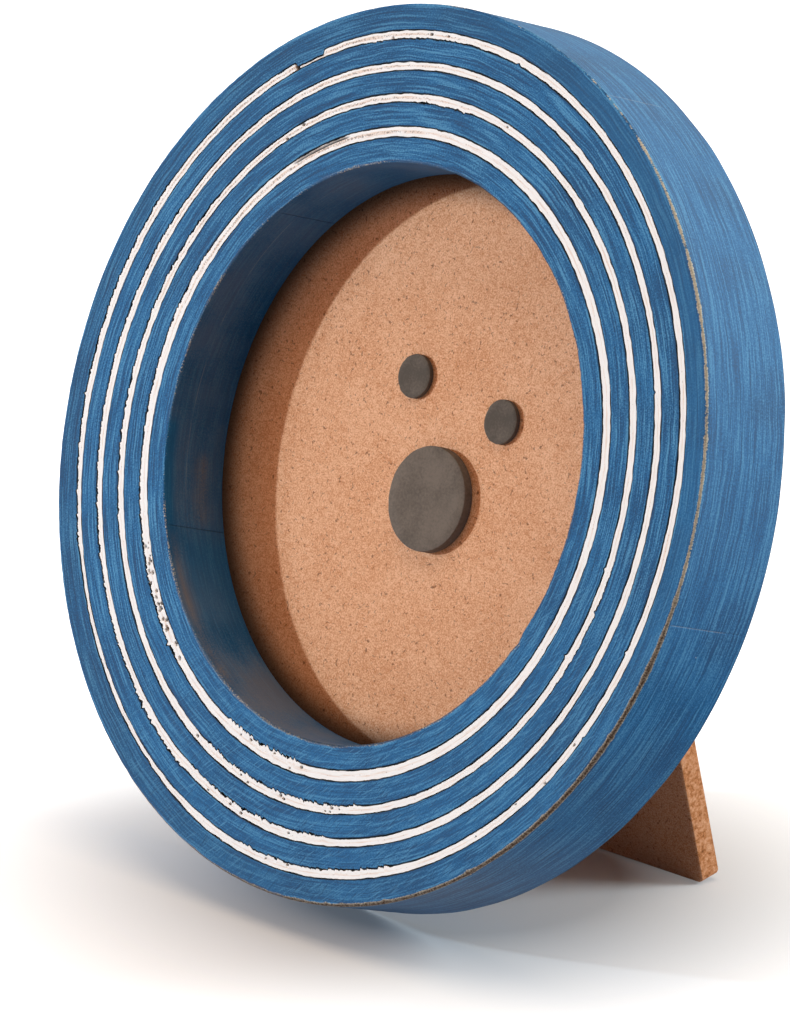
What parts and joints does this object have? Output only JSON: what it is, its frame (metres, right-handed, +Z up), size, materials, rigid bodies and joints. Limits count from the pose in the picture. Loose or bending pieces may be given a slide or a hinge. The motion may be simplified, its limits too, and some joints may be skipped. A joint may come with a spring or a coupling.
{
  "type": "round photo frame",
  "caption": "Free-standing round photo frame: a deep painted wooden ring with white filled lines, a magnetic board with disc magnets and a folding strut.",
  "frame": {"origin": "on the table, under the middle of the whole object with the strut open", "axes": "+X to the right and +Y to the back seen from the front, +Z up"},
  "size_m": [0.1524, 0.073, 0.1509],
  "materials": {
    "painted_wood": "satin",
    "white_filler": "matte",
    "mdf": "matte",
    "steel": "satin",
    "hinge_steel": "satin",
    "rivet_steel": "satin",
    "button_steel": "satin",
    "screw_brass": "satin",
    "ferrite": "matte"
  },
  "bodies": {
    "frame": {"ring_segment_1": "painted_wood", "ring_segment_2": "painted_wood", "ring_segment_3": "painted_wood", "ring_segment_4": "painted_wood", "ring_segment_5": "painted_wood", "groove_filling_1": "white_filler", "groove_filling_2": "white_filler", "groove_filling_3": "white_filler", "groove_filling_4": "white_filler", "display_board": "mdf", "steel_sheet": "steel", "back_board": "mdf", "turn_button_screws": "screw_brass", "hinge_fixed_leaf": "hinge_steel", "hinge_pin": "hinge_steel", "fixed_leaf_rivets": "rivet_steel"},
    "folding_strut": {"strut": "mdf", "hinge_moving_leaf": "hinge_steel", "strut_rivets": "rivet_steel"},
    "button_1": {"turn_button_1": "button_steel"},
    "button_2": {"turn_button_2": "button_steel"},
    "button_3": {"turn_button_3": "button_steel"},
    "button_4": {"turn_button_4": "button_steel"},
    "magnet_large": {"large_magnet": "ferrite"},
    "magnet_small_1": {"small_magnet_1": "ferrite"},
    "magnet_small_2": {"small_magnet_2": "ferrite"}
  },
  "joints": [
    {"name": "strut_fold", "type": "hinge", "parent": "frame", "child": "folding_strut", "pos_m": [0, 0.01249, 0.09222], "axis": [1, 0, 0], "range_deg": [-28.5, 0]},
    {"name": "button_1_turn", "type": "hinge", "parent": "frame", "child": "button_1", "pos_m": [0.05382, 0.0166, 0.10842], "axis": [0, -0.9537, 0.3007], "continuous": true},
    {"name": "button_2_turn", "type": "hinge", "parent": "frame", "child": "button_2", "pos_m": [-0.05382, 0.0166, 0.10842], "axis": [0, -0.9537, 0.3007], "continuous": true},
    {"name": "button_3_turn", "type": "hinge", "parent": "frame", "child": "button_3", "pos_m": [-0.05382, -0.00606, 0.03654], "axis": [0, -0.9537, 0.3007], "continuous": true},
    {"name": "button_4_turn", "type": "hinge", "parent": "frame", "child": "button_4", "pos_m": [0.05382, -0.00606, 0.03654], "axis": [0, -0.9537, 0.3007], "continuous": true},
    {"name": "magnet_large_lift", "type": "slide", "parent": "frame", "child": "magnet_large", "axis": [0, -0.9537, 0.3007], "range_m": [0, 0.03]},
    {"name": "magnet_small_1_lift", "type": "slide", "parent": "frame", "child": "magnet_small_1", "axis": [0, -0.9537, 0.3007], "range_m": [0, 0.03]},
    {"name": "magnet_small_2_lift", "type": "slide", "parent": "frame", "child": "magnet_small_2", "axis": [0, -0.9537, 0.3007], "range_m": [0, 0.03]}
  ]
}
